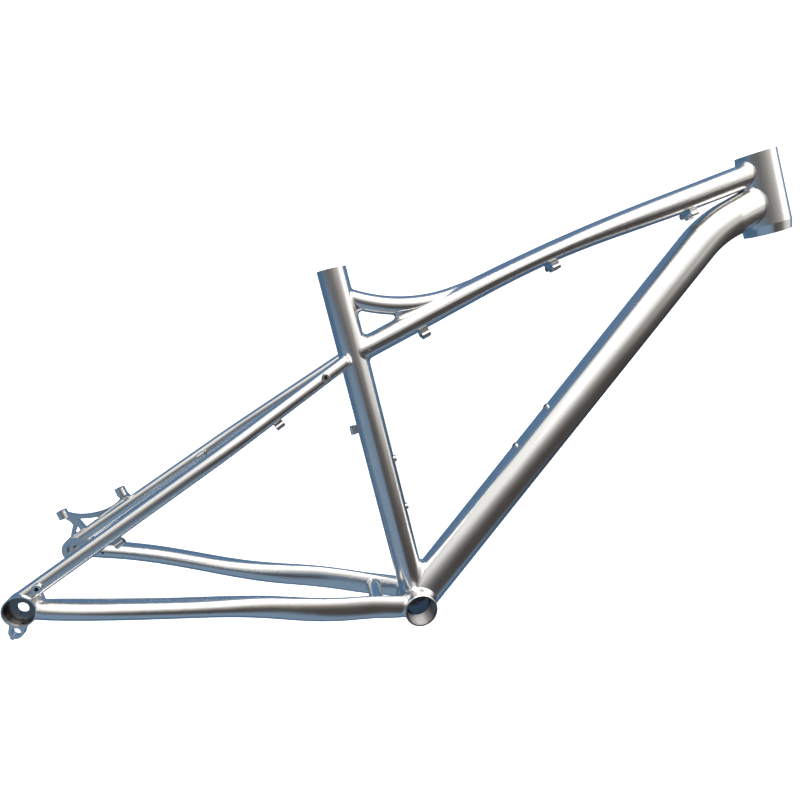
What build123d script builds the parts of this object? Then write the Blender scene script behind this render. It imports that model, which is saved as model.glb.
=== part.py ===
"""Bare titanium mountain-bike hardtail frame with a 142 x 12 mm rear end.

The origin is the middle of the bottom-bracket shell. +X points to the head tube, +Y to the
non-drive side and +Z up. Every tube, boss and fitting is its own solid, coped to its neighbours.
"""
from build123d import *
from math import cos, radians, sin, sqrt, tan
import os

# ---- Driving dimensions (mm, degrees) ------------------------------------------------------
TUBE_WALL = 1.0  # wall of the butted main tubes and the stays

# Frame geometry
REACH = 412.0  # shell centre to the middle of the head tube's top, forward
STACK = 590.5  # the same, upward
HEAD_ANGLE = 70.0
SEAT_ANGLE = 73.0
CHAINSTAY_RUN = 425.0  # shell centre to rear axle, rearward
AXLE_RISE = 44.0  # height of the rear axle above the shell centre
HUB_SPACING = 142.0  # between the seats of the hub's end caps

# Bottom-bracket shell
SHELL_WIDTH = 73.0
SHELL_OD = 41.0
SHELL_BORE = 34.8
SHELL_RELIEF_BORE = 36.4  # wider middle stretch between the two threads
SHELL_THREAD_DEPTH = 24.0

# Seat tube
SEAT_TUBE_OD = 34.9
SEATPOST_BORE = 31.6
SEATPOST_DEPTH = 200.0  # reamed length; the tube is thinner below it
SEAT_TUBE_LENGTH = 425.0
SLOT_WIDTH = 3.0
SLOT_LENGTH = 32.0
SLOT_END_DIAMETER = 6.0

# Head tube
HEAD_TUBE_LENGTH = 102.4
HEAD_TOP_OD = 47.2
HEAD_KNEE_OD = 56.6  # widest ring, a little above the lower end
HEAD_KNEE_HEIGHT = 11.5
HEAD_BOTTOM_OD = 54.2
UPPER_CUP_BORE = 44.0
LOWER_CUP_BORE = 49.6
CUP_DEPTH = 15.0
HEAD_RELIEF = 0.8  # extra radius of the waist behind each cup bore

# Top tube
TOP_TUBE_SEAT_DROP = 101.0  # along the seat tube, top edge to the tubes' meeting point
TOP_TUBE_HEAD_DROP = 23.3  # along the head tube, top edge to the tubes' meeting point
TOP_TUBE_BEND_AT = 261.0  # along the chord from the seat tube
TOP_TUBE_ARCH = 17.7  # rise of the bend's apex above the chord
TOP_TUBE_BEND_RADIUS = 1600.0
TOP_TUBE_SECTIONS = (  # share of the length, height, width
    (0.0, 28.4, 33.0),
    (0.14, 27.6, 33.6),
    (0.30, 26.0, 35.4),
    (0.43, 24.9, 36.6),
    (0.57, 27.0, 35.0),
    (0.71, 30.4, 32.6),
    (0.85, 32.0, 31.8),
    (1.0, 32.0, 31.8),
)

# Down tube
DOWN_TUBE_OD = 49.2
DOWN_TUBE_FOOT = (1.4, -1.0)  # X and Z of the axis beside the shell centre
DOWN_TUBE_HEAD_RISE = 42.0  # along the head tube, lower edge to the tubes' meeting point
DOWN_TUBE_HEAD_ANGLE = 30.7  # slope of the short upper stretch
DOWN_TUBE_UPPER_RUN = 83.8
DOWN_TUBE_BEND_RADIUS = 140.0
DOWN_TUBE_HEAD_OVAL = (1.02, 0.86)  # height and width at the head tube, shares of the diameter
DOWN_TUBE_COLLAR_LENGTH = 25.0  # thicker stretch that closes on the shell
DOWN_TUBE_COLLAR_WALL = 5.0
DOWN_TUBE_FOOT_GAP = 3.0  # shell centre to the tube's lowest edge

# Seat brace, the curved tube above the top tube
BRACE_OD = 22.2
BRACE_SEAT_DROP = 29.0  # along the seat tube, top edge to the brace's axis
BRACE_APEX = (72.5, -22.9)  # corner that the bend rounds, from the brace's rear end
BRACE_LANDING = 183.0  # along the top tube's axis, from the seat tube's axis
BRACE_BEND_RADIUS = 200.0

# Chainstays
STAY_OUTSET = 4.6  # seat of the hub to the stays' axes at the dropouts, outward
CHAINSTAY_BENDS = (  # share of the run, half spacing, height above the line from axle to shell
    (0.172, 75.2, 1.8),
    (0.522, 45.0, -1.0),
    (0.722, 44.4, -1.6),
)
CHAINSTAY_FRONT = (-12.0, 23.0, 1.4)  # end of the axis, inside the shell's outline
CHAINSTAY_BEND_RADIUS = 150.0
CHAINSTAY_OD = 22.8  # round tube before it is squeezed
CHAINSTAY_SECTIONS = (  # share of the length, height
    (0.0, 20.0),
    (0.10, 21.2),
    (0.24, 21.6),
    (0.36, 21.8),
    (0.48, 23.6),
    (0.58, 26.4),
    (0.69, 28.4),
    (0.80, 29.0),
    (0.90, 28.7),
    (1.0, 28.4),
)
CHAINSTAY_TIP_WIDTH = 16.0
VENT_DIAMETER = 3.0
VENT_AHEAD = 32.0  # axle to the vent hole
BRIDGE_OD = 17.5
BRIDGE_RUN = 52.0  # shell centre to the bridge, rearward
BRIDGE_RISE = 5.0

# Seatstays
SEATSTAY_OD = 16.0
SEATSTAY_BEND = (189.0, 62.0)  # ahead of the axle and half spacing at the bend
SEATSTAY_TOP_SPAN = 17.0  # half spacing beside the seat tube
SEATSTAY_SETBACK = 9.5  # seat tube's axis to the end of the stay
SEATSTAY_SLOPE = 37.7
SEATSTAY_BEND_RADIUS = 260.0
SEATSTAY_CAP = 3.0  # closed end wall
SEATSTAY_CAP_ROUND = 4.5

# Dropouts
CUP_OD = 33.0
CUP_BOWL_RIM = 30.4
CUP_BOWL_FLOOR = 28.2
CUP_FLOOR = 5.5
CUP_DEPTH_REAR = 13.5  # seat of the hub to the rim
AXLE_CLEARANCE_BORE = 12.3
AXLE_THREAD_BORE = 11.0  # M12 x 1.0, drilled
AXLE_END_WALL = 2.0  # closes the threaded hole on the outside
HUB_CAP_BORE = 20.4
HUB_CAP_DEPTH = 3.5
WEB_THICKNESS = 6.0
WEB_REACH = 21.5  # axle to the web's front edge
WEB_ANGLE = 16.0
END_WALL = 3.0  # closed ends of the stays against the dropouts

# Derailleur hanger
HANGER_PLATE_OD = 30.0
HANGER_HOLE = (-7.6, -26.8)  # from the axle
HANGER_HOLE_BORE = 9.0  # M10 x 1, drilled
HANGER_EYE_OD = 14.4
HANGER_THICKNESS = 7.5
HANGER_CLEARANCE = 0.3
HANGER_SCREW_ANGLES = (222.0, 270.0)
HANGER_SCREW_RADIUS = 12.4
HANGER_NECK_TOP = (-12.6, 6.4)  # both edges of the tab where it leaves the ring, from the axle
HANGER_STOP_ANGLE = 239.0
HANGER_STOP = (4.0, 3.0)  # width and height of the stop tooth
SCREW_SHANK = 3.0
SCREW_HEAD = 4.2
SCREW_HEAD_DEPTH = 1.2
SCREW_HEX = 1.6
SCREW_TIP_GAP = 0.6

# Disc-brake mount on the non-drive side
POST_SPACING = 74.0
POST_ANGLE = 23.5
POST_AHEAD = 3.0  # axle to the rear post, along the line of the posts
POST_FACE_HEIGHT = 52.4  # axle to the plane of the post faces
POST_OD = 12.6
POST_LENGTH = 10.2
POST_BORE = 5.0  # M6, drilled
POST_BORE_DEPTH = 9.0
POST_NECK = 4.2  # half width of the plate under the front post
BRAKE_STRUT = (  # top edge between the posts: along their line and across it, from the axle
    (9.3, 47.0),
    (20.0, 39.6),
    (36.1, 34.6),
    (48.4, 33.2),
    (72.8, 39.6),
)
BRAKE_REAR_EDGE = ((-1.8, 14.5), (0.6, 18.6), (5.6, 26.0), (9.0, 30.6), (7.8, 36.0), (5.5, 39.4))
BRAKE_FRONT_WINDOW = ((16.3, 36.0), (31.0, 30.6), (42.4, 27.6), (20.0, 21.0))
BRAKE_REAR_WINDOW = ((13.0, 28.4), (14.2, 20.4), (3.8, 18.2))
BRAKE_WINDOW_ROUND = 1.0
BRAKE_PLATE_THICKNESS = 7.0
BRAKE_PLATE_OFFSET = 75.0  # middle of the frame to the middle of the plate

# Threaded bosses and cable guides
BOSS_OD = 8.4
BOSS_BORE = 4.2  # M5, drilled
BOSS_PROUD = 2.4
BOSS_BURY = 5.0
BOSS_ROUND = 0.8
BOTTLE_PITCH = 64.0
SEAT_TUBE_BOSS_AT = 122.5
DOWN_TUBE_BOSS_AT = 233.0
EYELET_OD = 10.0
EYELET_PROUD = 2.6
UPPER_EYELET_AHEAD = 297.0  # from the axle
LOWER_EYELET_AHEAD = 16.6
GUIDE_OD = 7.6
GUIDE_BORE = 5.2
GUIDE_LENGTH = 10.0
GUIDE_PITCH = 8.6
GUIDE_GAP = 1.4  # neck between a barrel and its tube
GUIDE_NECK = 3.6
TRIO_DROP = 1.6  # extra neck under the top tube
TOP_TUBE_GUIDES = (("rear", 0.142), ("middle", 0.462), ("front", 0.808))  # share of the length
SEAT_TUBE_GUIDE_AT = 235.0
SEATSTAY_GUIDES_DRIVE = (("upper", 241.0), ("lower", 82.0))  # ahead of the axle
SEATSTAY_GUIDE_NONDRIVE = 153.0

# ---- Derived frame lines ---------------------------------------------------------------------
SEAT_DIR = Vector(-cos(radians(SEAT_ANGLE)), 0, sin(radians(SEAT_ANGLE)))
SEAT_FRONT = Vector(sin(radians(SEAT_ANGLE)), 0, cos(radians(SEAT_ANGLE)))
HEAD_DIR = Vector(-cos(radians(HEAD_ANGLE)), 0, sin(radians(HEAD_ANGLE)))
HEAD_TOP = Vector(REACH, 0, STACK)
AXLE = Vector(-CHAINSTAY_RUN, 0, AXLE_RISE)
HUB_HALF = HUB_SPACING / 2
SEAT_R = SEAT_TUBE_OD / 2
SHELL_R = SHELL_OD / 2
STAY_R = SEATSTAY_OD / 2
CUP_R = CUP_OD / 2
LONG = 2000.0  # longer than any tube, for cutting tools

seat_plane = Plane(origin=(0, 0, 0), x_dir=SEAT_FRONT, z_dir=SEAT_DIR)
head_plane = Plane(origin=HEAD_TOP, x_dir=(sin(radians(HEAD_ANGLE)), 0, cos(radians(HEAD_ANGLE))),
                   z_dir=HEAD_DIR)
head_side_plane = Plane(origin=HEAD_TOP, x_dir=head_plane.x_dir, z_dir=(0, -1, 0))


def slope_dir(angle):
    """Unit vector in the middle plane at an angle above the horizontal."""
    return Vector(cos(radians(angle)), 0, sin(radians(angle)))


def section_plane(path, share):
    """Plane across a path, with its local Y up."""
    tangent = path % share
    across = tangent.cross(Vector(0, 0, 1)).normalized()
    return Plane(origin=path @ share, x_dir=across, z_dir=tangent)


def share_at_x(path, x):
    """Share of a path's length at which it reaches a distance along X."""
    low, high = 0.0, 1.0
    for _ in range(24):
        middle = (low + high) / 2
        if (path @ middle).X < x:
            low = middle
        else:
            high = middle
    return low


def oval_at(sections, share):
    """Height and width between two of a tube's listed sections."""
    for (start, *first), (end, *second) in zip(sections, sections[1:]):
        if share <= end:
            mix = (share - start) / (end - start)
            return [a + (b - a) * mix for a, b in zip(first, second)]


def oval_tube(path, sections, wall):
    """Solid lofted along a path through ovals, each drawn in by the wall."""
    with BuildPart() as tube:
        for share, height, width in sections:
            with BuildSketch(section_plane(path, share)):
                Ellipse(width / 2 - wall, height / 2 - wall)
        loft()
    return tube.part


def export(builder, name):
    """Label a finished piece and write it as one STEP file."""
    builder.part.label = name
    export_step(builder.part, f"parts/{name}.step")


# ---- Envelopes: the outer shapes that neighbours are coped to -------------------------------
with BuildPart() as seat_envelope:
    with BuildSketch(seat_plane):
        Circle(SEAT_R)
    extrude(amount=SEAT_TUBE_LENGTH)

with BuildPart() as shell_envelope:
    with BuildSketch(Plane.XZ):
        Circle(SHELL_R)
    extrude(amount=SHELL_WIDTH / 2, both=True)

with BuildPart() as head_envelope:
    with BuildSketch(head_side_plane):
        with BuildLine():
            Polyline(
                (0, 0),
                (HEAD_TOP_OD / 2, 0),
                (HEAD_KNEE_OD / 2, HEAD_KNEE_HEIGHT - HEAD_TUBE_LENGTH),
                (HEAD_BOTTOM_OD / 2, -HEAD_TUBE_LENGTH),
                (0, -HEAD_TUBE_LENGTH),
                close=True,
            )
        make_face()
    revolve(axis=Axis(HEAD_TOP, HEAD_DIR))
    fillet(head_envelope.edges().filter_by(GeomType.CIRCLE).sort_by(SortBy.RADIUS)[-1], 5.0)

# Top tube: a long gentle arch whose oval changes along the way
top_tube_seat_end = SEAT_DIR * (SEAT_TUBE_LENGTH - TOP_TUBE_SEAT_DROP)
top_tube_head_end = HEAD_TOP - HEAD_DIR * TOP_TUBE_HEAD_DROP
top_tube_chord = (top_tube_head_end - top_tube_seat_end).normalized()
top_tube_normal = Vector(-top_tube_chord.Z, 0, top_tube_chord.X)
top_tube_apex = top_tube_seat_end + top_tube_chord * TOP_TUBE_BEND_AT + top_tube_normal * TOP_TUBE_ARCH
with BuildLine() as top_tube_line:
    top_tube_path = FilletPolyline(
        top_tube_seat_end + top_tube_chord * SEAT_R * 0.4,
        top_tube_apex,
        top_tube_head_end,
        radius=TOP_TUBE_BEND_RADIUS,
    )


top_tube_outer = oval_tube(top_tube_path, TOP_TUBE_SECTIONS, 0)
top_tube_inner = oval_tube(top_tube_path, TOP_TUBE_SECTIONS, TUBE_WALL)

# Down tube: straight from the shell, bent forward just behind the head tube
down_tube_end = HEAD_TOP - HEAD_DIR * (HEAD_TUBE_LENGTH - DOWN_TUBE_HEAD_RISE)
down_tube_apex = down_tube_end - slope_dir(DOWN_TUBE_HEAD_ANGLE) * DOWN_TUBE_UPPER_RUN
down_tube_foot = Vector(DOWN_TUBE_FOOT[0], 0, DOWN_TUBE_FOOT[1])
down_tube_dir = (down_tube_apex - down_tube_foot).normalized()
down_tube_top = Vector(-down_tube_dir.Z, 0, down_tube_dir.X)
down_tube_plane = Plane(origin=down_tube_foot, x_dir=(0, 1, 0), z_dir=down_tube_dir)
with BuildLine() as down_tube_line:
    down_tube_path = FilletPolyline(
        down_tube_foot, down_tube_apex, down_tube_end, radius=DOWN_TUBE_BEND_RADIUS
    )
down_tube_lower, down_tube_bend, down_tube_upper = down_tube_path.edges()


def down_tube_shape(wall):
    """Round tube through the bend, then squeezed to an oval at the head tube."""
    radius = DOWN_TUBE_OD / 2
    with BuildPart() as tube:
        with BuildSketch(down_tube_plane):
            Circle(radius - wall)
        sweep(path=Wire([down_tube_lower, down_tube_bend]))
        with BuildSketch(section_plane(down_tube_upper, 0)):
            Circle(radius - wall)
        with BuildSketch(section_plane(down_tube_upper, 1)):
            Ellipse(radius * DOWN_TUBE_HEAD_OVAL[1] - wall, radius * DOWN_TUBE_HEAD_OVAL[0] - wall)
        loft()
    return tube.part


# Chainstays: squeezed tubes that clear the tyre, one shape mirrored for the other side
chainstay_points = [(AXLE.X + CUP_R / 2, HUB_HALF + STAY_OUTSET, AXLE.Z - 1.5)]
for share, half_span, lift in CHAINSTAY_BENDS:
    on_line = AXLE.Z * (1 - share)
    chainstay_points.append((AXLE.X + share * CHAINSTAY_RUN, half_span, on_line + lift))
chainstay_points.append(CHAINSTAY_FRONT)
with BuildLine() as chainstay_line:
    chainstay_path = FilletPolyline(*chainstay_points, radius=CHAINSTAY_BEND_RADIUS)


# a squeezed tube keeps its girth, so its width follows from its height
chainstay_sections = [
    (share, height, sqrt(2 * CHAINSTAY_OD**2 - height**2)) for share, height in CHAINSTAY_SECTIONS
]
chainstay_sections[0] = (*CHAINSTAY_SECTIONS[0], CHAINSTAY_TIP_WIDTH)
chainstay_outer = oval_tube(chainstay_path, chainstay_sections, 0)
chainstay_inner = oval_tube(chainstay_path, chainstay_sections, TUBE_WALL)

# Seatstays: straight in side view, tangent to the top of the dropout cup
seatstay_slope = tan(radians(SEATSTAY_SLOPE))
seatstay_foot = AXLE + Vector(-sin(radians(SEATSTAY_SLOPE)), 0, cos(radians(SEATSTAY_SLOPE))) * (
    CUP_R - STAY_R
)
seat_tube_slope = tan(radians(SEAT_ANGLE))
seatstay_top_x = (seatstay_slope * seatstay_foot.X - seatstay_foot.Z) / (seatstay_slope + seat_tube_slope)


def seatstay_point(x, half_span):
    """Point of the seatstay's axis at a distance along X."""
    return Vector(x, half_span, seatstay_foot.Z + (x - seatstay_foot.X) * seatstay_slope)


seatstay_start = seatstay_point(seatstay_foot.X + 1.5, HUB_HALF + STAY_OUTSET)
seatstay_bend = seatstay_point(AXLE.X + SEATSTAY_BEND[0], SEATSTAY_BEND[1])
seatstay_top = seatstay_point(seatstay_top_x, SEATSTAY_TOP_SPAN)
seatstay_last = (seatstay_top - seatstay_bend).normalized()
seatstay_end = seatstay_top - seatstay_last * SEATSTAY_SETBACK
with BuildLine() as seatstay_line:
    seatstay_path = FilletPolyline(
        seatstay_start, seatstay_bend, seatstay_end, radius=SEATSTAY_BEND_RADIUS
    )
with BuildLine() as seatstay_bore_line:
    seatstay_bore_path = FilletPolyline(
        seatstay_start,
        seatstay_bend,
        seatstay_end - seatstay_last * SEATSTAY_CAP,
        radius=SEATSTAY_BEND_RADIUS,
    )

with BuildPart() as seatstay_envelope:
    with BuildSketch(Plane(origin=seatstay_path @ 0, z_dir=seatstay_path % 0)):
        Circle(STAY_R)
    sweep(path=seatstay_path)
    fillet(seatstay_envelope.edges().sort_by(Axis.X)[-1], SEATSTAY_CAP_ROUND)
with BuildPart() as seatstay_bore:
    with BuildSketch(Plane(origin=seatstay_path @ 0, z_dir=seatstay_path % 0)):
        Circle(STAY_R - TUBE_WALL)
    sweep(path=seatstay_bore_path)

with BuildPart() as cup_envelope:
    with BuildSketch(Plane.XZ):
        with Locations((AXLE.X, AXLE.Z)):
            Circle(CUP_R)
    extrude(amount=LONG, both=True)
with BuildPart() as cup_end_wall:
    with BuildSketch(Plane.XZ):
        with Locations((AXLE.X, AXLE.Z)):
            Circle(CUP_R + END_WALL)
    extrude(amount=LONG, both=True)

# ---- Threaded bosses: a drilled barrel set into a drilled tube ------------------------------
def boss(point, outward, diameter=BOSS_OD, proud=BOSS_PROUD, bury=BOSS_BURY, bore=0.0):
    """Barrel through a tube's surface; without a bore it is the drill for the tube."""
    with BuildPart() as barrel:
        with BuildSketch(Plane(origin=point + outward * proud, z_dir=-outward)):
            Circle(diameter / 2)
            if bore:
                Circle(bore / 2, mode=Mode.SUBTRACT)
        extrude(amount=proud + bury)
        if bore:
            rims = barrel.edges().filter_by(GeomType.CIRCLE).group_by(SortBy.RADIUS)[-1]
            fillet(rims.sort_by(Axis(point, outward))[-1], BOSS_ROUND)
    return barrel.part


seat_boss_points = [
    SEAT_DIR * (SEAT_TUBE_BOSS_AT + step) + SEAT_FRONT * SEAT_R for step in (0, BOTTLE_PITCH)
]
down_boss_points = [
    down_tube_foot + down_tube_dir * (DOWN_TUBE_BOSS_AT + step) + down_tube_top * DOWN_TUBE_OD / 2
    for step in (0, BOTTLE_PITCH)
]

os.makedirs("parts", exist_ok=True)

# ---- Main tubes ------------------------------------------------------------------------------
with BuildPart() as bottom_bracket_shell:
    add(shell_envelope.part)
    with BuildSketch(Plane.XZ):
        Circle(SHELL_BORE / 2)
    extrude(amount=SHELL_WIDTH / 2, both=True, mode=Mode.SUBTRACT)
    with BuildSketch(Plane.XZ):
        Circle(SHELL_RELIEF_BORE / 2)
    extrude(amount=SHELL_WIDTH / 2 - SHELL_THREAD_DEPTH, both=True, mode=Mode.SUBTRACT)
    rims = bottom_bracket_shell.faces().filter_by(Axis.Y).sort_by(Axis.Y)
    chamfer((rims[0] + rims[-1]).edges(), 0.6)
export(bottom_bracket_shell, "bottom_bracket_shell")

with BuildPart() as head_tube:
    add(head_envelope.part)
    with BuildSketch(head_side_plane):
        with BuildLine():
            Polyline(
                (0, 0),
                (UPPER_CUP_BORE / 2, 0),
                (UPPER_CUP_BORE / 2, -CUP_DEPTH),
                (UPPER_CUP_BORE / 2 + HEAD_RELIEF, -CUP_DEPTH - HEAD_RELIEF),
                (LOWER_CUP_BORE / 2 + HEAD_RELIEF, CUP_DEPTH + HEAD_RELIEF - HEAD_TUBE_LENGTH),
                (LOWER_CUP_BORE / 2, CUP_DEPTH - HEAD_TUBE_LENGTH),
                (LOWER_CUP_BORE / 2, -HEAD_TUBE_LENGTH),
                (0, -HEAD_TUBE_LENGTH),
                close=True,
            )
        make_face()
    revolve(axis=Axis(HEAD_TOP, HEAD_DIR), mode=Mode.SUBTRACT)
export(head_tube, "head_tube")

with BuildPart() as top_tube:
    add(top_tube_outer)
    add(top_tube_inner, mode=Mode.SUBTRACT)
    add(seat_envelope.part, mode=Mode.SUBTRACT)
    add(head_envelope.part, mode=Mode.SUBTRACT)
export(top_tube, "top_tube")

with BuildPart() as seat_tube:
    add(seat_envelope.part)
    with BuildSketch(seat_plane):
        Circle(SEAT_R - TUBE_WALL)
    extrude(amount=SEAT_TUBE_LENGTH - SEATPOST_DEPTH, mode=Mode.SUBTRACT)
    with BuildSketch(seat_plane.offset(SEAT_TUBE_LENGTH - SEATPOST_DEPTH)):
        Circle(SEATPOST_BORE / 2)
    extrude(amount=SEATPOST_DEPTH, mode=Mode.SUBTRACT)
    add(shell_envelope.part, mode=Mode.SUBTRACT)
    slot_foot = SEAT_DIR * (SEAT_TUBE_LENGTH - SLOT_LENGTH)
    with BuildSketch(Plane(origin=slot_foot, x_dir=(0, 1, 0), z_dir=-SEAT_FRONT)):
        with Locations((0, SLOT_LENGTH / 2)):
            Rectangle(SLOT_WIDTH, SLOT_LENGTH)
        Circle(SLOT_END_DIAMETER / 2)
    extrude(amount=SEAT_TUBE_OD, mode=Mode.SUBTRACT)
    for point in seat_boss_points:
        add(boss(point, SEAT_FRONT), mode=Mode.SUBTRACT)
export(seat_tube, "seat_tube")

with BuildPart() as down_tube:
    add(down_tube_shape(0))
    add(down_tube_shape(TUBE_WALL), mode=Mode.SUBTRACT)
    with BuildSketch(down_tube_plane.offset(DOWN_TUBE_FOOT_GAP)):
        Circle(DOWN_TUBE_OD / 2 - TUBE_WALL / 2)
        Circle(DOWN_TUBE_OD / 2 - DOWN_TUBE_COLLAR_WALL, mode=Mode.SUBTRACT)
    extrude(amount=DOWN_TUBE_COLLAR_LENGTH)
    split(bisect_by=down_tube_plane.offset(DOWN_TUBE_FOOT_GAP), keep=Keep.TOP)
    add(shell_envelope.part, mode=Mode.SUBTRACT)
    add(seat_envelope.part, mode=Mode.SUBTRACT)
    add(head_envelope.part, mode=Mode.SUBTRACT)
    add(top_tube_outer, mode=Mode.SUBTRACT)
    for point in down_boss_points:
        add(boss(point, down_tube_top), mode=Mode.SUBTRACT)
export(down_tube, "down_tube")

brace_start = SEAT_DIR * (SEAT_TUBE_LENGTH - BRACE_SEAT_DROP)
brace_landing = top_tube_seat_end + (top_tube_apex - top_tube_seat_end).normalized() * BRACE_LANDING
with BuildPart() as seat_brace_tube:
    with BuildLine():
        brace_path = FilletPolyline(
            brace_start,
            brace_start + Vector(BRACE_APEX[0], 0, BRACE_APEX[1]),
            brace_landing,
            radius=BRACE_BEND_RADIUS,
        )
    with BuildSketch(Plane(origin=brace_start, z_dir=brace_path % 0)):
        Circle(BRACE_OD / 2)
        Circle(BRACE_OD / 2 - TUBE_WALL, mode=Mode.SUBTRACT)
    sweep(path=brace_path)
    add(seat_envelope.part, mode=Mode.SUBTRACT)
    add(top_tube_outer, mode=Mode.SUBTRACT)
export(seat_brace_tube, "seat_brace_tube")

# ---- Stays -----------------------------------------------------------------------------------
with BuildPart() as chainstay_hollow:
    add(chainstay_inner)
    add(cup_end_wall.part, mode=Mode.SUBTRACT)

with BuildPart() as chainstay_nondrive:
    add(chainstay_outer)
    add(chainstay_hollow.part, mode=Mode.SUBTRACT)
    add(cup_envelope.part, mode=Mode.SUBTRACT)
    add(shell_envelope.part, mode=Mode.SUBTRACT)
    vent = chainstay_path @ share_at_x(chainstay_path, AXLE.X + VENT_AHEAD)
    with BuildSketch(Plane(origin=vent, z_dir=(0, -1, 0))):
        Circle(VENT_DIAMETER / 2)
    extrude(amount=CHAINSTAY_OD, mode=Mode.SUBTRACT)
export(chainstay_nondrive, "chainstay_nondrive")

with BuildPart() as chainstay_drive:
    add(chainstay_nondrive.part)
    mirror(about=Plane.XZ, mode=Mode.REPLACE)
export(chainstay_drive, "chainstay_drive")

with BuildPart() as chainstay_bridge:
    bridge_half = (chainstay_path @ share_at_x(chainstay_path, -BRIDGE_RUN)).Y
    with BuildSketch(Plane.XZ):
        with Locations((-BRIDGE_RUN, BRIDGE_RISE)):
            Circle(BRIDGE_OD / 2)
            Circle(BRIDGE_OD / 2 - TUBE_WALL, mode=Mode.SUBTRACT)
    extrude(amount=bridge_half, both=True)
    for stay in (chainstay_outer, chainstay_outer.mirror(Plane.XZ)):
        add(stay, mode=Mode.SUBTRACT)
export(chainstay_bridge, "chainstay_bridge")


def seatstay_surface(ahead):
    """Outermost point of the non-drive seatstay at a distance ahead of the axle."""
    return seatstay_path @ share_at_x(seatstay_path, AXLE.X + ahead) + Vector(0, STAY_R, 0)


def eyelet(ahead, bore=0.0):
    """Threaded eyelet on the outer face of the non-drive seatstay, or the drill for it."""
    return boss(seatstay_surface(ahead), Vector(0, 1, 0), EYELET_OD, EYELET_PROUD, STAY_R, bore)


with BuildPart() as seatstay_hollow:
    add(seatstay_bore.part)
    add(cup_end_wall.part, mode=Mode.SUBTRACT)
    with BuildSketch(seat_plane):
        Circle(SEAT_R + 2 * TUBE_WALL)
    extrude(amount=SEAT_TUBE_LENGTH, mode=Mode.SUBTRACT)

with BuildPart() as seatstay_nondrive:
    add(seatstay_envelope.part)
    add(seatstay_hollow.part, mode=Mode.SUBTRACT)
    add(cup_envelope.part, mode=Mode.SUBTRACT)
    add(seat_envelope.part, mode=Mode.SUBTRACT)
    for ahead in (UPPER_EYELET_AHEAD, LOWER_EYELET_AHEAD):
        add(eyelet(ahead), mode=Mode.SUBTRACT)
export(seatstay_nondrive, "seatstay_nondrive")

with BuildPart() as seatstay_drive:
    add(seatstay_nondrive.part)
    mirror(about=Plane.XZ, mode=Mode.REPLACE)
export(seatstay_drive, "seatstay_drive")

for height, ahead in (("upper", UPPER_EYELET_AHEAD), ("lower", LOWER_EYELET_AHEAD)):
    with BuildPart() as rack_eyelet_nondrive:
        add(eyelet(ahead, BOSS_BORE))
    export(rack_eyelet_nondrive, f"rack_eyelet_{height}_nondrive")
    with BuildPart() as rack_eyelet_drive:
        add(rack_eyelet_nondrive.part)
        mirror(about=Plane.XZ, mode=Mode.REPLACE)
    export(rack_eyelet_drive, f"rack_eyelet_{height}_drive")


# ---- Dropouts --------------------------------------------------------------------------------
def dropout_web():
    """Plate in the fork between the two non-drive stays, reaching into the cup."""
    middle = HUB_HALF + STAY_OUTSET
    with BuildPart() as web:
        with BuildSketch(Plane(origin=(AXLE.X, middle, AXLE.Z), x_dir=(1, 0, 0), z_dir=(0, -1, 0))):
            with Locations(Rotation(0, 0, WEB_ANGLE)):
                with Locations((WEB_REACH / 2, 0)):
                    Rectangle(WEB_REACH, CUP_R)
        extrude(amount=WEB_THICKNESS / 2, both=True)
        add(seatstay_envelope.part, mode=Mode.SUBTRACT)
        add(chainstay_outer, mode=Mode.SUBTRACT)
    return web.part


drive_seat = Plane(origin=(AXLE.X, -HUB_HALF, AXLE.Z), x_dir=(1, 0, 0), z_dir=(0, -1, 0))
hanger_seat = drive_seat.offset(-HUB_CAP_DEPTH)
screw_points = [
    (HANGER_SCREW_RADIUS * cos(radians(angle)), HANGER_SCREW_RADIUS * sin(radians(angle)))
    for angle in HANGER_SCREW_ANGLES
]

with BuildPart() as dropout_drive:
    with BuildSketch(drive_seat):
        Circle(CUP_R)
    extrude(amount=CUP_DEPTH_REAR)
    add(dropout_web().mirror(Plane.XZ))
    with BuildSketch(drive_seat.offset(CUP_FLOOR)):
        Circle(CUP_BOWL_FLOOR / 2)
    with BuildSketch(drive_seat.offset(CUP_DEPTH_REAR)):
        Circle(CUP_BOWL_RIM / 2)
    loft(mode=Mode.SUBTRACT)
    with BuildSketch(drive_seat):
        Circle(AXLE_CLEARANCE_BORE / 2)
        with Locations(*screw_points):
            Circle(SCREW_SHANK / 2)
    extrude(amount=CUP_FLOOR, mode=Mode.SUBTRACT)
export(dropout_drive, "dropout_drive")

nondrive_face = Plane(
    origin=(AXLE.X, HUB_HALF - HUB_CAP_DEPTH, AXLE.Z), x_dir=(-1, 0, 0), z_dir=(0, 1, 0)
)
with BuildPart() as dropout_nondrive:
    with BuildSketch(nondrive_face):
        Circle(CUP_R)
    extrude(amount=CUP_DEPTH_REAR)
    add(dropout_web())
    with BuildSketch(nondrive_face):
        Circle(AXLE_THREAD_BORE / 2)
    extrude(amount=CUP_DEPTH_REAR - AXLE_END_WALL, mode=Mode.SUBTRACT)
    with BuildSketch(nondrive_face):
        Circle(HUB_CAP_BORE / 2)
    extrude(amount=HUB_CAP_DEPTH, mode=Mode.SUBTRACT)
export(dropout_nondrive, "dropout_nondrive")

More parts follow.
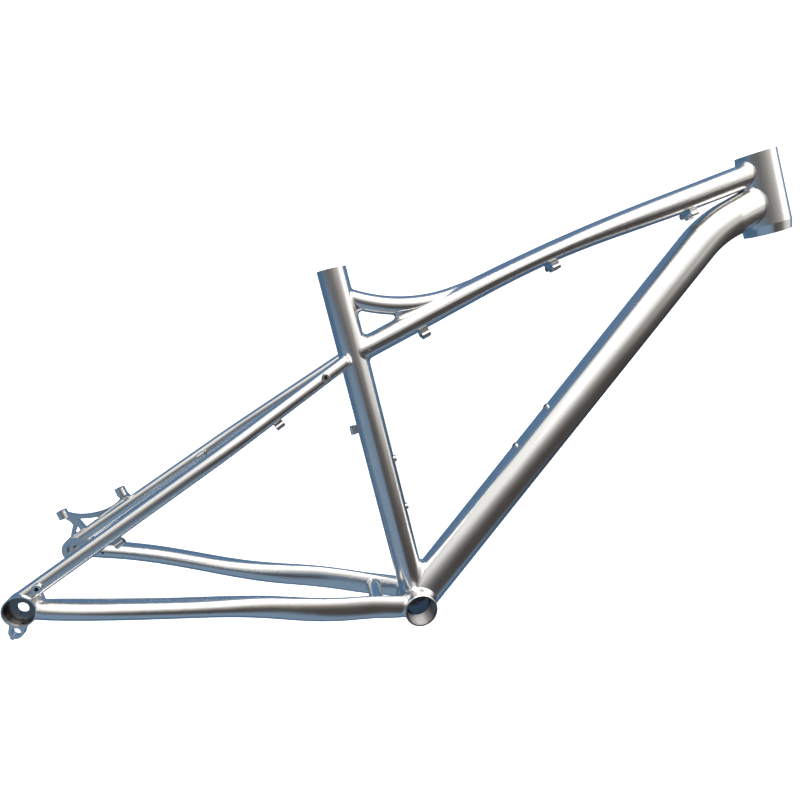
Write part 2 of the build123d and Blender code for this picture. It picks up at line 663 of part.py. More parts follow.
with BuildPart() as derailleur_hanger:
    with BuildSketch(hanger_seat):
        Circle(HANGER_PLATE_OD / 2)
    extrude(amount=HUB_CAP_DEPTH)
    with BuildSketch(hanger_seat):
        with Locations(HANGER_HOLE):
            Circle(HANGER_EYE_OD / 2)
            with Locations(Rotation(0, 0, HANGER_STOP_ANGLE)):
                with Locations((HANGER_EYE_OD / 2, 0)):
                    Rectangle(HANGER_STOP[1], HANGER_STOP[0])
        with BuildLine():
            Polyline(
                (HANGER_HOLE[0] - HANGER_EYE_OD / 2, HANGER_HOLE[1]),
                (HANGER_HOLE[0] + HANGER_EYE_OD / 2, HANGER_HOLE[1]),
                (HANGER_NECK_TOP[1], -HUB_CAP_BORE / 2),
                (HANGER_NECK_TOP[0], -HUB_CAP_BORE / 2),
                close=True,
            )
        make_face()
    extrude(amount=HANGER_THICKNESS)
    with BuildSketch(drive_seat):
        Circle(CUP_R + HANGER_CLEARANCE)
    extrude(amount=HANGER_THICKNESS, mode=Mode.SUBTRACT)
    with BuildSketch(hanger_seat):
        Circle(HUB_CAP_BORE / 2)
        with Locations(HANGER_HOLE):
            Circle(HANGER_HOLE_BORE / 2)
        with Locations(*screw_points):
            Circle(SCREW_SHANK / 2)
    extrude(amount=HANGER_THICKNESS, mode=Mode.SUBTRACT)
    with BuildSketch(hanger_seat):
        with Locations(*screw_points):
            Circle(SCREW_HEAD / 2)
    extrude(amount=SCREW_HEAD_DEPTH, mode=Mode.SUBTRACT)
export(derailleur_hanger, "derailleur_hanger")

with BuildPart() as hanger_screws:
    with BuildSketch(hanger_seat):
        with Locations(*screw_points):
            Circle(SCREW_HEAD / 2)
    extrude(amount=SCREW_HEAD_DEPTH)
    with BuildSketch(hanger_seat):
        with Locations(*screw_points):
            Circle(SCREW_SHANK / 2)
    extrude(amount=HUB_CAP_DEPTH + CUP_FLOOR - SCREW_TIP_GAP)
    with BuildSketch(hanger_seat):
        with Locations(*screw_points):
            RegularPolygon(SCREW_HEX / 2, 6, major_radius=False)
    extrude(amount=SCREW_HEAD_DEPTH, mode=Mode.SUBTRACT)
export(hanger_screws, "hanger_screws")

# ---- Disc-brake mount: two posts on a pierced plate, U along the posts and V across ----------
post_u = Vector(cos(radians(POST_ANGLE)), 0, sin(radians(POST_ANGLE)))
post_v = Vector(-sin(radians(POST_ANGLE)), 0, cos(radians(POST_ANGLE)))
brake_origin = Vector(AXLE.X, BRAKE_PLATE_OFFSET, AXLE.Z)
brake_plane = Plane(origin=brake_origin, x_dir=post_u, z_dir=(0, -1, 0))
FRONT_POST = POST_AHEAD + POST_SPACING
with BuildPart() as disc_brake_mount:
    with BuildSketch(brake_plane):
        with BuildLine():
            strut_top = Spline(*BRAKE_STRUT)
            Polyline(
                strut_top @ 1,
                (FRONT_POST - POST_NECK, POST_FACE_HEIGHT - POST_LENGTH / 2),
                (FRONT_POST + POST_NECK, POST_FACE_HEIGHT - POST_LENGTH / 2),
                (FRONT_POST + 2 * POST_NECK, CUP_R + POST_SPACING / 4),
                (CUP_R, CUP_R / 2),
                (0, 0),
                *BRAKE_REAR_EDGE,
                (POST_AHEAD, POST_FACE_HEIGHT - POST_LENGTH / 2),
                strut_top @ 0,
            )
        make_face()
        for window in (BRAKE_FRONT_WINDOW, BRAKE_REAR_WINDOW):
            with BuildLine():
                FilletPolyline(*window, radius=BRAKE_WINDOW_ROUND, close=True)
            make_face(mode=Mode.SUBTRACT)
    extrude(amount=BRAKE_PLATE_THICKNESS / 2, both=True)
    for station in (POST_AHEAD, FRONT_POST):
        face_point = brake_origin + post_u * station + post_v * POST_FACE_HEIGHT
        with BuildSketch(Plane(origin=face_point, z_dir=-post_v)):
            Circle(POST_OD / 2)
        extrude(amount=POST_LENGTH)
    add(seatstay_envelope.part, mode=Mode.SUBTRACT)
    add(cup_envelope.part, mode=Mode.SUBTRACT)
    for station in (POST_AHEAD, FRONT_POST):
        face_point = brake_origin + post_u * station + post_v * POST_FACE_HEIGHT
        with BuildSketch(Plane(origin=face_point, z_dir=-post_v)):
            Circle(POST_BORE / 2)
        extrude(amount=POST_BORE_DEPTH, mode=Mode.SUBTRACT)
export(disc_brake_mount, "disc_brake_mount")


# ---- Bottle bosses and cable guides ----------------------------------------------------------
with BuildPart() as seat_tube_bottle_bosses:
    for point in seat_boss_points:
        add(boss(point, SEAT_FRONT, bore=BOSS_BORE))
export(seat_tube_bottle_bosses, "seat_tube_bottle_bosses")

with BuildPart() as down_tube_bottle_bosses:
    for point in down_boss_points:
        add(boss(point, down_tube_top, bore=BOSS_BORE))
export(down_tube_bottle_bosses, "down_tube_bottle_bosses")


def cable_guide(point, along, outward, barrels, tube):
    """Barrels along a tube on one saddle; each is (sideways, tube's surface from its axis)."""
    across = outward.cross(along)
    saddle_reach = max(side for side, _ in barrels) + GUIDE_NECK / 2
    saddle_top = min(surface for _, surface in barrels) + GUIDE_GAP + GUIDE_OD / 2
    with BuildPart() as guide:
        with BuildSketch(Plane(origin=point - along * GUIDE_LENGTH / 2, x_dir=across, z_dir=along)):
            with Locations((0, saddle_top / 2)):
                Rectangle(2 * saddle_reach, saddle_top)
            for side, surface in barrels:
                with Locations((side, surface + GUIDE_GAP + GUIDE_OD / 2)):
                    Circle(GUIDE_OD / 2)
            for side, surface in barrels:
                with Locations((side, surface + GUIDE_GAP + GUIDE_OD / 2)):
                    Circle(GUIDE_BORE / 2, mode=Mode.SUBTRACT)
        extrude(amount=GUIDE_LENGTH)
        add(tube, mode=Mode.SUBTRACT)
    return guide.part


for place, share in TOP_TUBE_GUIDES:
    guide_height, guide_width = oval_at(TOP_TUBE_SECTIONS, share)
    trio = [
        (side, TRIO_DROP + guide_height / 2 * sqrt(1 - (2 * side / guide_width) ** 2))
        for side in (-GUIDE_PITCH, 0, GUIDE_PITCH)
    ]
    along = (top_tube_path % share).normalized()
    below = Vector(along.Z, 0, -along.X)
    with BuildPart() as cable_guide_trio:
        add(cable_guide(top_tube_path @ share, along, below, trio, top_tube_outer))
    export(cable_guide_trio, f"cable_guide_{place}")

with BuildPart() as seat_tube_cable_guide:
    add(cable_guide(
        SEAT_DIR * SEAT_TUBE_GUIDE_AT, SEAT_DIR, -SEAT_FRONT, [(0, SEAT_R)], seat_envelope.part
    ))
export(seat_tube_cable_guide, "seat_tube_cable_guide")


def seatstay_guide(ahead, toward):
    """Single guide on the non-drive seatstay, on the side that faces a direction."""
    share = share_at_x(seatstay_path, AXLE.X + ahead)
    along = (seatstay_path % share).normalized()
    outward = (toward - along * toward.dot(along)).normalized()
    return cable_guide(
        seatstay_path @ share, along, outward, [(0, STAY_R)], seatstay_envelope.part
    )


for place, ahead in SEATSTAY_GUIDES_DRIVE:
    with BuildPart() as seatstay_guide_drive:
        add(seatstay_guide(ahead, Vector(0, 0, -1)))
        mirror(about=Plane.XZ, mode=Mode.REPLACE)
    export(seatstay_guide_drive, f"seatstay_guide_drive_{place}")

with BuildPart() as seatstay_guide_nondrive:
    add(seatstay_guide(SEATSTAY_GUIDE_NONDRIVE, Vector(0, -1, 0)))
export(seatstay_guide_nondrive, "seatstay_guide_nondrive")
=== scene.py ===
import math

import bmesh
import bpy
import numpy as np
from mathutils import Matrix, Vector
from mathutils.bvhtree import BVHTree


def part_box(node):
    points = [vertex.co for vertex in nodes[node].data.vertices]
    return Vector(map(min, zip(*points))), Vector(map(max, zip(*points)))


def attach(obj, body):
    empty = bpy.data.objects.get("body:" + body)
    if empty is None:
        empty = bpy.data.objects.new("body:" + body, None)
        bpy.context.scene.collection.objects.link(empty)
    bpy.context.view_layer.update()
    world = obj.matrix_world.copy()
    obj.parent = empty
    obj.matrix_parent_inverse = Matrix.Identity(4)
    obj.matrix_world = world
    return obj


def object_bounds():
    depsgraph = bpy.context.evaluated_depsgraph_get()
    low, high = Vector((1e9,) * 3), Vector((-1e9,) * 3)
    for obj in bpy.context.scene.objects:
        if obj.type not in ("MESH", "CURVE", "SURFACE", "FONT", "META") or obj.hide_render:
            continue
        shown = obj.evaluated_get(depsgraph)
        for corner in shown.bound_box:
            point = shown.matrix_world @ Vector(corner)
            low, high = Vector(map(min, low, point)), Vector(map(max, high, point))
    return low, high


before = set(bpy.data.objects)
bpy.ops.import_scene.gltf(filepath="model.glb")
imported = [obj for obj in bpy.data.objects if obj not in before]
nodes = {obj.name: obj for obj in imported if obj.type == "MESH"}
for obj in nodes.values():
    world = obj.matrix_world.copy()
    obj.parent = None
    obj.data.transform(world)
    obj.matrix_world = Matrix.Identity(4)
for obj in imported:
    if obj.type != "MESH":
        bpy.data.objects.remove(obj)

cad_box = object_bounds()


# ---- Materials -------------------------------------------------------------------------------
TUBE_LIGHT, TUBE_DARK = (0.80, 0.785, 0.76), (0.735, 0.72, 0.695)
MACHINED_LIGHT, MACHINED_DARK = (0.80, 0.79, 0.77), (0.73, 0.72, 0.70)
# Painted shade: the dark colour laid inside a bore, where shade falls in the hollow
BORE_PAINTED_SHADE = (0.20, 0.195, 0.19)
GRAIN_STRETCH = (14, 900, 900)  # streaks run long along the first axis, fine across it
GRAIN_SHARE = 0.55  # the rest of the tint comes from the broad cloudy pattern
BUMP_STRENGTH = 0.035
SHELL_BORE_SHADE = (0, 0, 0.0186)  # X and Z of the middle of a bore, and the radius of the painted shade inside it
# X and Z of the drive dropout's axle, and the radius of the painted shade in its cup
AXLE_CUP_SHADE = (-0.425, 0.044, 0.0148)


def link(tree, a, out, b, into):
    tree.links.new(a.outputs[out], b.inputs[into])


def titanium(name, light, dark, roughness, along=(1, 0, 0), streak=1.0, bore=None):
    """Brushed metal, streaks along a direction; inside a bore along Y (X, Z, radius) the colour is
    darkened as painted shade.
    """
    mat = bpy.data.materials.new(name)
    mat.use_nodes = True
    tree = mat.node_tree
    bsdf = tree.nodes["Principled BSDF"]
    bsdf.inputs["Metallic"].default_value = 1.0
    place = tree.nodes.new("ShaderNodeTexCoord")
    turn = tree.nodes.new("ShaderNodeMapping")
    turn.vector_type = "TEXTURE"
    direction = Vector(along).normalized()
    turn.inputs["Rotation"].default_value = direction.to_track_quat("X", "Z").to_euler()
    link(tree, place, "Object", turn, "Vector")
    stretch = tree.nodes.new("ShaderNodeMapping")
    stretch.inputs["Scale"].default_value = GRAIN_STRETCH
    link(tree, turn, "Vector", stretch, "Vector")
    grain = tree.nodes.new("ShaderNodeTexNoise")
    grain.inputs["Scale"].default_value = 1.0
    grain.inputs["Detail"].default_value = 4.0
    grain.inputs["Roughness"].default_value = 0.6
    link(tree, stretch, "Vector", grain, "Vector")
    cloud = tree.nodes.new("ShaderNodeTexNoise")
    cloud.inputs["Scale"].default_value = 22.0
    cloud.inputs["Detail"].default_value = 3.0
    link(tree, place, "Object", cloud, "Vector")

    tint = tree.nodes.new("ShaderNodeValToRGB")
    tint.color_ramp.elements[0].position = 0.3
    tint.color_ramp.elements[0].color = (*dark, 1)
    tint.color_ramp.elements[1].position = 0.7
    tint.color_ramp.elements[1].color = (*light, 1)
    both = tree.nodes.new("ShaderNodeMath")
    both.operation = "MULTIPLY_ADD"
    both.inputs[1].default_value = GRAIN_SHARE
    link(tree, grain, "Fac", both, 0)
    broad = tree.nodes.new("ShaderNodeMath")
    broad.operation = "MULTIPLY"
    broad.inputs[1].default_value = 1 - GRAIN_SHARE
    link(tree, cloud, "Fac", broad, 0)
    link(tree, broad, "Value", both, 2)
    link(tree, both, "Value", tint, "Fac")
    if bore:
        middle_x, middle_z, bore_radius = bore
        shift = tree.nodes.new("ShaderNodeVectorMath")
        shift.operation = "SUBTRACT"
        shift.inputs[1].default_value = (middle_x, 0, middle_z)
        link(tree, place, "Object", shift, 0)
        spread = tree.nodes.new("ShaderNodeVectorMath")
        spread.operation = "MULTIPLY"
        spread.inputs[1].default_value = (1, 0, 1)
        link(tree, shift, "Vector", spread, 0)
        radius = tree.nodes.new("ShaderNodeVectorMath")
        radius.operation = "LENGTH"
        link(tree, spread, "Vector", radius, 0)
        inside = tree.nodes.new("ShaderNodeMath")
        inside.operation = "LESS_THAN"
        inside.inputs[1].default_value = bore_radius
        link(tree, radius, "Value", inside, 0)
        # painted shade: within this radius of the bore's axis the colour turns dark
        painted_shade = tree.nodes.new("ShaderNodeMix")
        painted_shade.data_type = "RGBA"
        painted_shade.inputs[7].default_value = (*BORE_PAINTED_SHADE, 1)
        link(tree, inside, "Value", painted_shade, 0)
        link(tree, tint, "Color", painted_shade, 6)
        link(tree, painted_shade, 2, bsdf, "Base Color")
    else:
        link(tree, tint, "Color", bsdf, "Base Color")

    gloss = tree.nodes.new("ShaderNodeMapRange")
    gloss.inputs["From Min"].default_value = 0.3
    gloss.inputs["From Max"].default_value = 0.7
    gloss.inputs["To Min"].default_value = roughness - 0.03
    gloss.inputs["To Max"].default_value = roughness + 0.04
    link(tree, both, "Value", gloss, "Value")
    link(tree, gloss, "Result", bsdf, "Roughness")

    bump = tree.nodes.new("ShaderNodeBump")
    bump.inputs["Strength"].default_value = BUMP_STRENGTH * streak
    bump.inputs["Distance"].default_value = 0.0002
    link(tree, grain, "Fac", bump, "Height")
    link(tree, bump, "Normal", bsdf, "Normal")
    return mat


def slope(angle):
    """Direction in the middle plane at an angle, in degrees, above straight ahead."""
    return (math.cos(math.radians(angle)), 0, math.sin(math.radians(angle)))


TUBES = {  # the way the brushing runs on each tube
    "down_tube": slope(53.9),
    "top_tube": slope(26.7),
    "seat_tube": slope(107),
    "seat_brace_tube": slope(5),
    "head_tube": slope(110),
    "bottom_bracket_shell": (0, 1, 0),
    "chainstay_drive": (400, 45, -40),
    "chainstay_nondrive": (400, -45, -40),
    "chainstay_bridge": (0, 1, 0),
    "seatstay_drive": (320, 50, 250),
    "seatstay_nondrive": (320, -50, 250),
}
for name, along in TUBES.items():
    bore = SHELL_BORE_SHADE if name == "bottom_bracket_shell" else None
    brushed = titanium(f"brushed_{name}", TUBE_LIGHT, TUBE_DARK, 0.23, along, bore=bore)
    nodes[name].data.materials.clear()
    nodes[name].data.materials.append(brushed)
machined = titanium("machined_titanium", MACHINED_LIGHT, MACHINED_DARK, 0.22, (0, 1, 0), 0.6)
# The threads are coloured dark as painted shade inside the shell's bore
thread_metal = titanium(
    "thread_titanium", (0.27, 0.26, 0.255), (0.22, 0.215, 0.21), 0.34, (0, 1, 0), 0.6
)
cup_metal = titanium(
    "cup_titanium", MACHINED_LIGHT, MACHINED_DARK, 0.24, (0, 1, 0), 0.6, AXLE_CUP_SHADE
)
screw_steel = titanium("screw_steel", (0.16, 0.16, 0.17), (0.08, 0.08, 0.085), 0.35, (0, 1, 0), 0.5)
weld_metal = titanium(
    "weld_titanium", (0.80, 0.785, 0.765), (0.72, 0.70, 0.68), 0.25, (0, 0, 1), 0.5
)
special = {"hanger_screws": screw_steel, "dropout_drive": cup_metal}
for name, obj in nodes.items():
    if name not in TUBES:
        obj.data.materials.clear()
        obj.data.materials.append(special.get(name, machined))


def as_object(mesh, name, material, smooth_shaded):
    """A finished bmesh as an object in the scene."""
    data = bpy.data.meshes.new(name)
    mesh.to_mesh(data)
    mesh.free()
    for polygon in data.polygons:
        polygon.use_smooth = smooth_shaded
    data.materials.append(material)
    obj = bpy.data.objects.new(name, data)
    bpy.context.scene.collection.objects.link(obj)
    return obj


# ---- Weld fillets, laid along the lines where a tube's coped end meets its neighbour ----------
SEAM_GAP = 0.00025  # an edge this close to the neighbour lies on it
SEAM_FACING = -0.8  # a coped end looks into the neighbour's surface at least this squarely
SEAM_CORNER = 0.35  # radians between the coped end and the wall
BLOCKED_WITHIN = 0.07  # a wall with its own tube in front of it this near is an inside wall
SINK = 0.00012  # a fillet's edges lie this far under the surfaces
ROOT_DEPTH = 0.0006
ARC_POINTS = 7
HOLLOW = 0.62  # how far the middle of a fillet's face is drawn in to the seam
MESHES = {}


def joined(name):
    """A node's mesh with its corners joined, and a tree for nearest points on it."""
    if name not in MESHES:
        mesh = bmesh.new()
        mesh.from_mesh(nodes[name].data)
        bmesh.ops.remove_doubles(mesh, verts=mesh.verts, dist=3e-6)
        mesh.faces.ensure_lookup_table()
        mesh.normal_update()
        MESHES[name] = (mesh, BVHTree.FromBMesh(mesh))
    return MESHES[name]


def seam_edges(name, neighbour):
    """Edges of a node's outer wall that lie on the neighbour, each with that wall's normal."""
    mesh, own = joined(name)
    other = joined(neighbour)[1]
    found = []
    for edge in mesh.edges:
        if len(edge.link_faces) != 2:
            continue
        near = [other.find_nearest(v.co) for v in edge.verts]
        if any(n[0] is None or n[3] > SEAM_GAP for n in near):
            continue
        cope, wall = sorted(edge.link_faces, key=lambda f: f.normal.dot(near[0][1] + near[1][1]))
        facing = cope.normal.dot((near[0][1] + near[1][1]).normalized())
        if facing > SEAM_FACING or wall.normal.angle(cope.normal) < SEAM_CORNER:
            continue
        start = wall.calc_center_median() + wall.normal * 0.0003
        if own.ray_cast(start, wall.normal, BLOCKED_WITHIN)[0] is not None:
            continue
        found.append((edge, wall.normal.copy()))
    return found


def chains(found):
    """The edges strung into lines of (point, normal), and whether each line closes."""
    at = {}
    for edge, normal in found:
        for vert in edge.verts:
            at.setdefault(vert, []).append((edge, normal))
    left = {edge: normal for edge, normal in found}
    lines = []
    while left:
        ends = [v for v in at if sum(e in left for e, _ in at[v]) == 1]
        start = ends[0] if ends else next(iter(left)).verts[0]
        line, vert = [], start
        while True:
            step = [(e, n) for e, n in at[vert] if e in left]
            if not step:
                break
            edge, normal = step[0]
            del left[edge]
            line.append((vert.co.copy(), normal))
            vert = edge.other_vert(vert)
        closed = vert is start
        if not closed:
            line.append((vert.co.copy(), line[-1][1]))
        lines.append((line, closed))
    return lines


def evenly(line, closed, step):
    """Points and normals at an even spacing along a line, lightly smoothed."""
    points = np.array([p for p, _ in line])
    normals = np.array([n for _, n in line])
    if closed:
        points = np.vstack([points, points[:1]])
        normals = np.vstack([normals, normals[:1]])
    run = np.concatenate([[0], np.cumsum(np.linalg.norm(np.diff(points, axis=0), axis=1))])
    count = max(6, int(round(run[-1] / step)))
    stops = np.linspace(0, run[-1], count + 1)[: count if closed else count + 1]
    points = np.column_stack([np.interp(stops, run, points[:, k]) for k in range(3)])
    normals = np.column_stack([np.interp(stops, run, normals[:, k]) for k in range(3)])
    return smooth(points, closed, 2), smooth(normals, closed, 6), run[-1]


def smooth(rows, closed, times):
    """Rows evened out with their neighbours, the ends of an open line left alone."""
    for _ in range(times):
        if closed:
            rows = (np.roll(rows, 1, 0) + 2 * rows + np.roll(rows, -1, 0)) / 4
        else:
            rows[1:-1] = (rows[:-2] + 2 * rows[1:-1] + rows[2:]) / 4
    return rows


def unit(rows):
    """Rows scaled to length one."""
    return rows / np.maximum(np.linalg.norm(rows, axis=1, keepdims=True), 1e-9)


def fillet(points, wall, base, closed, own, other, size, limit, name):
    """One fillet: its section spans from the tube's wall to the neighbour's surface."""
    wall, base = unit(wall), unit(base)
    lean = np.sum(wall * base, axis=1, keepdims=True)
    # the sharper the crotch, the farther a round-bottomed fillet reaches up its sides
    sharp = np.clip(-lean[:, 0], -0.98, 0.98)
    spread = smooth(np.clip(np.sqrt((1 + sharp) / (1 - sharp)), 0.6, limit), closed, 6)
    up_wall, along_base = unit(base - lean * wall), unit(wall - lean * base)
    mesh = bmesh.new()
    rings = []
    for k, point in enumerate(points):
        taper = 1.0
        if not closed:
            taper = min(1.0, 0.35 + min(k, len(points) - 1 - k) / 5)
        reach = size * taper * spread[k]
        on_wall = own.find_nearest(Vector(point + up_wall[k] * reach))[0]
        on_base = other.find_nearest(Vector(point + along_base[k] * reach))[0]
        on_wall = on_wall - Vector(wall[k]) * SINK
        on_base = on_base - Vector(base[k]) * SINK
        middle = (on_wall + on_base) / 2
        corner = middle.lerp(Vector(point), HOLLOW)
        ring = []
        for j in range(ARC_POINTS):
            s = j / (ARC_POINTS - 1)
            ring.append(on_wall * (1 - s) ** 2 + corner * (2 * s * (1 - s)) + on_base * s * s)
        inside = Vector(point) - Vector(wall[k] + base[k]).normalized() * ROOT_DEPTH
        ring.append(inside)
        rings.append([mesh.verts.new(p) for p in ring])
    pairs = list(zip(rings, rings[1:])) + ([(rings[-1], rings[0])] if closed else [])
    for one, two in pairs:
        for j in range(ARC_POINTS + 1):
            n = (j + 1) % (ARC_POINTS + 1)
            mesh.faces.new((one[j], one[n], two[n], two[j]))
    if not closed:
        mesh.faces.new(rings[0])
        mesh.faces.new(list(reversed(rings[-1])))
    bmesh.ops.recalc_face_normals(mesh, faces=mesh.faces)
    piece = as_object(mesh, name, weld_metal, True)
    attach(piece, "root")


def weld(name, neighbour, size, limit=4.0, step=0.0014, shortest=0.006):
    """Fillets along every seam where a node's coped end meets its neighbour."""
    own, other = joined(name)[1], joined(neighbour)[1]
    for k, (line, closed) in enumerate(chains(seam_edges(name, neighbour))):
        points, wall, length = evenly(line, closed, step)
        if length < shortest:
            continue
        base = np.array([other.find_nearest(Vector(p))[1] for p in points])
        base = smooth(base, closed, 6)
        fillet(points, wall, base, closed, own, other, size, limit, f"weld_{name}_{neighbour}_{k}")


# coped piece, its neighbour, radius of the fillet, and where it isn't the usual 4 times,
# the most that a sharp crotch stretches that radius
WELDS = [
    ("top_tube", "seat_tube", 0.0046),
    ("top_tube", "head_tube", 0.0046),
    ("down_tube", "head_tube", 0.0050),
    ("down_tube", "top_tube", 0.0046, 6.5),
    ("down_tube", "bottom_bracket_shell", 0.0046),
    ("down_tube", "seat_tube", 0.0046),
    ("seat_tube", "bottom_bracket_shell", 0.0042),
    ("seat_brace_tube", "seat_tube", 0.0044),
    ("seat_brace_tube", "top_tube", 0.0040),
    ("disc_brake_mount", "seatstay_nondrive", 0.0016),
    ("disc_brake_mount", "dropout_nondrive", 0.0016),
    ("seat_tube_cable_guide", "seat_tube", 0.0009),
    ("seatstay_guide_drive_upper", "seatstay_drive", 0.0009),
    ("seatstay_guide_drive_lower", "seatstay_drive", 0.0009),
    ("seatstay_guide_nondrive", "seatstay_nondrive", 0.0009),
]
for side in ("drive", "nondrive"):
    WELDS += [
        (f"chainstay_{side}", "bottom_bracket_shell", 0.0038),
        (f"seatstay_{side}", "seat_tube", 0.0032),
        (f"chainstay_{side}", f"dropout_{side}", 0.0036),
        (f"seatstay_{side}", f"dropout_{side}", 0.0026),
        ("chainstay_bridge", f"chainstay_{side}", 0.0024),
        (f"dropout_{side}", f"chainstay_{side}", 0.0014),
        (f"dropout_{side}", f"seatstay_{side}", 0.0014),
    ]
for place in ("front", "middle", "rear"):
    WELDS.append((f"cable_guide_{place}", "top_tube", 0.0009))
for seam in WELDS:
    weld(*seam)

# ---- Thread turns inside the bottom-bracket shell ---------------------------------------------
SHELL_BORE_RADIUS = 0.0174
THREAD_PITCH = 0.001058
THREAD_LENGTH = 0.0225
THREAD_START = 0.0008  # in from the shell's end
# one turn's section: out from the bore's wall, and along the axis as a share of the pitch
RIDGE = ((0.0001, -0.42), (-0.00035, -0.06), (-0.00035, 0.06), (0.0001, 0.42))


def thread(name, start, inward):
    """A low helical ridge on the wall of the shell's bore."""
    mesh = bmesh.new()
    per_turn = 72
    turns = THREAD_LENGTH / THREAD_PITCH
    rings = []
    for k in range(int(turns * per_turn) + 1):
        angle = 2 * math.pi * k / per_turn
        y = start + inward * (THREAD_START + THREAD_PITCH * k / per_turn)
        ring = []
        for radial, shift in RIDGE:
            radius = SHELL_BORE_RADIUS + radial
            ring.append(mesh.verts.new((
                radius * math.cos(angle),
                y + shift * THREAD_PITCH,
                radius * math.sin(angle),
            )))
        rings.append(ring)
    for one, two in zip(rings, rings[1:]):
        for j in range(4):
            mesh.faces.new((one[j], one[(j + 1) % 4], two[(j + 1) % 4], two[j]))
    mesh.faces.new(rings[0])
    mesh.faces.new(list(reversed(rings[-1])))
    bmesh.ops.recalc_face_normals(mesh, faces=mesh.faces)
    piece = as_object(mesh, name, thread_metal, False)
    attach(piece, "root")


shell_low, shell_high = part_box("bottom_bracket_shell")
thread("shell_thread_drive", shell_low[1], 1)
thread("shell_thread_nondrive", shell_high[1], -1)


# ---- Stage: pale floor that curves up into a backdrop -----------------------------------------
cad_low, cad_high = cad_box
centre = (cad_low + cad_high) / 2
FLOOR_DROP = 0.30
floor_level = cad_low[2] - FLOOR_DROP


def backdrop():
    """The floor's profile, swept sideways: flat, a quarter round, then straight up."""
    radius, back, extent, steps = 1.5, 6.0, 12.0, 24
    profile = [(-extent, floor_level)]
    for k in range(steps + 1):
        angle = math.radians(90 * k / steps)
        rise = radius * (1 - math.cos(angle))
        profile.append((back + radius * math.sin(angle), floor_level + rise))
    profile.append((back + radius, floor_level + extent))
    mesh = bmesh.new()
    rows = []
    for y, z in profile:
        ends = (centre.x - extent, centre.x + extent)
        rows.append([mesh.verts.new((x, centre.y + y, z)) for x in ends])
    for one, two in zip(rows, rows[1:]):
        mesh.faces.new((one[0], one[1], two[1], two[0]))
    mat = bpy.data.materials.new("studio_white")
    mat.use_nodes = True
    bsdf = mat.node_tree.nodes["Principled BSDF"]
    bsdf.inputs["Base Color"].default_value = (0.9, 0.9, 0.9, 1)
    bsdf.inputs["Roughness"].default_value = 0.9
    bsdf.inputs["Emission Color"].default_value = (1, 1, 1, 1)
    bsdf.inputs["Emission Strength"].default_value = 0.62
    floor = as_object(mesh, "studio_floor", mat, True)
    floor.visible_glossy = False


backdrop()


# ---- Light -----------------------------------------------------------------------------------
def softbox(name, place, size, power):
    """A large area lamp that faces the middle of the frame."""
    lamp = bpy.data.lights.new(name, "AREA")
    lamp.shape = "RECTANGLE"
    lamp.size, lamp.size_y = size
    lamp.energy = power
    obj = bpy.data.objects.new(name, lamp)
    obj.location = centre + Vector(place)
    obj.rotation_mode = "QUATERNION"
    obj.rotation_quaternion = (-Vector(place)).to_track_quat("-Z", "Y")
    bpy.context.scene.collection.objects.link(obj)


softbox("top_softbox", (0.2, -1.4, 2.4), (3.4, 2.0), 60)
softbox("side_softbox", (2.4, -1.0, 1.6), (1.6, 1.6), 14)

# The metal mirrors its surroundings: bright above, brown low down, a pale wall ahead, and
# blue light from the floor and from behind. Each is a range of directions in the sky.
BROWN = (0.08, 0.075, 0.075)
WHITE = (1.2, 1.2, 1.2)
PALE_WALL = (0.85, 0.84, 0.82)
BLUE_LEFT = (0.19, 0.29, 0.43)
BLUE_FLOOR = (0.22, 0.325, 0.46)
BLUE_REAR_LOW, BLUE_REAR_HIGH = (0.08, 0.17, 0.30), (0.12, 0.23, 0.40)
DARK_CORNER = (0.05, 0.045, 0.042)
FLOOR_SIDE = (-0.93, 1, 0)

world = bpy.data.worlds.new("studio_sky")
bpy.context.scene.world = world
world.use_nodes = True
sky = world.node_tree
background = sky.nodes["Background"]
way = sky.nodes.new("ShaderNodeTexCoord")
parts = sky.nodes.new("ShaderNodeSeparateXYZ")
link(sky, way, "Generated", parts, "Vector")
height = sky.nodes.new("ShaderNodeMapRange")
height.inputs["From Min"].default_value = -1.0
link(sky, parts, "Z", height, "Value")
bands = sky.nodes.new("ShaderNodeValToRGB")
ramp = bands.color_ramp
ramp.elements[0].position = 0.0
ramp.elements[0].color = (*BROWN, 1)
ramp.elements[1].position = 1.0
ramp.elements[1].color = (*WHITE, 1)
for position, colour in (
    (0.25, (0.070, 0.062, 0.058)),
    (0.38, (0.070, 0.061, 0.057)),
    (0.48, (0.16, 0.15, 0.145)),
    (0.55, (0.30, 0.29, 0.28)),
    (0.62, (0.50, 0.49, 0.48)),
    (0.69, (1.10, 1.10, 1.10)),
):
    ramp.elements.new(position).color = (*colour, 1)
link(sky, height, "Result", bands, "Fac")


def ease(axis, start, end):
    """Smooth step of a direction's part along an axis, from 0 at the start to 1 at the end."""
    step = sky.nodes.new("ShaderNodeMapRange")
    step.interpolation_type = "SMOOTHSTEP"
    step.inputs["From Min"].default_value = min(start, end)
    step.inputs["From Max"].default_value = max(start, end)
    if start > end:
        step.inputs["To Min"].default_value = 1.0
        step.inputs["To Max"].default_value = 0.0
    link(sky, parts, axis, step, "Value")
    return step.outputs["Result"]


def both_of(one, two):
    """Product of two shares."""
    product = sky.nodes.new("ShaderNodeMath")
    product.operation = "MULTIPLY"
    sky.links.new(one, product.inputs[0])
    sky.links.new(two, product.inputs[1])
    return product.outputs["Value"]


def blend(share, below, above):
    """Mix of two colours; each is a socket or a constant."""
    mix = sky.nodes.new("ShaderNodeMix")
    mix.data_type = "RGBA"
    sky.links.new(share, mix.inputs[0])
    for socket, value in ((mix.inputs[6], below), (mix.inputs[7], above)):
        if isinstance(value, tuple):
            socket.default_value = (*value, 1)
        else:
            sky.links.new(value, socket)
    return mix.outputs[2]


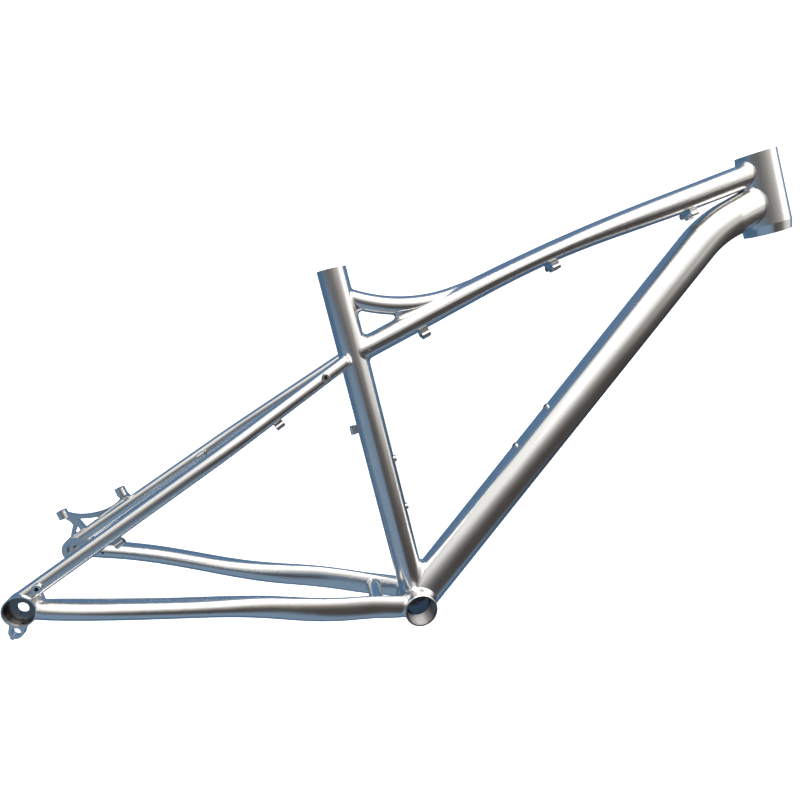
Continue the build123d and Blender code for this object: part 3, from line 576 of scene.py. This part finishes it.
ahead = both_of(ease("X", 0.50, 0.72), ease("Z", -0.08, 0.12))
glow = blend(ahead, bands.outputs["Color"], PALE_WALL)
aside = sky.nodes.new("ShaderNodeVectorMath")
aside.operation = "DOT_PRODUCT"
aside.inputs[1].default_value = FLOOR_SIDE
link(sky, way, "Generated", aside, 0)
floor_side = sky.nodes.new("ShaderNodeMapRange")
floor_side.interpolation_type = "SMOOTHSTEP"
floor_side.inputs["From Min"].default_value = -1.02
floor_side.inputs["From Max"].default_value = -0.72
link(sky, aside, "Value", floor_side, "Value")
left = both_of(ease("X", -0.05, -0.25), ease("Z", -0.15, -0.30))
left_blue = blend(left, glow, BLUE_LEFT)
below = both_of(floor_side.outputs["Result"], ease("Z", -0.28, -0.52))
floor_blue = blend(below, left_blue, BLUE_FLOOR)
rear_blue = blend(ease("Z", -0.4, 0.5), BLUE_REAR_LOW, BLUE_REAR_HIGH)
behind = blend(ease("Y", -0.12, 0.10), floor_blue, rear_blue)
low_right = both_of(ease("X", 0.66, 0.84), ease("Z", 0.15, -0.15))
right_dark = both_of(low_right, ease("Y", -0.2, 0.1))
sky.links.new(blend(right_dark, behind, DARK_CORNER), background.inputs["Color"])

scene = bpy.context.scene
scene.view_settings.view_transform = "Standard"

# ---- Camera ----------------------------------------------------------------------------------
YAW, PITCH, ROLL = math.radians(11.087), math.radians(8.0), math.radians(3.25)
CAMERA_PLACE = (-0.16604, -0.66912, 0.35225)
LENS = 25.42  # mm, on a sensor 36 mm wide
look = Vector((
    math.sin(YAW) * math.cos(PITCH),
    math.cos(YAW) * math.cos(PITCH),
    -math.sin(PITCH),
))
level = Vector((math.cos(YAW), -math.sin(YAW), 0))
upright = level.cross(look)
right = math.cos(ROLL) * level + math.sin(ROLL) * upright
up = math.cos(ROLL) * upright - math.sin(ROLL) * level
camera = bpy.data.objects.new("camera", bpy.data.cameras.new("camera"))
camera.data.sensor_width = 36.0
camera.data.lens = LENS
camera.data.clip_start = 0.01
camera.data.clip_end = 100.0
camera.matrix_world = Matrix((
    (right.x, up.x, -look.x, CAMERA_PLACE[0]),
    (right.y, up.y, -look.y, CAMERA_PLACE[1]),
    (right.z, up.z, -look.z, CAMERA_PLACE[2]),
    (0, 0, 0, 1),
))
scene.collection.objects.link(camera)
scene.camera = camera

for mesh, _ in MESHES.values():
    mesh.free()
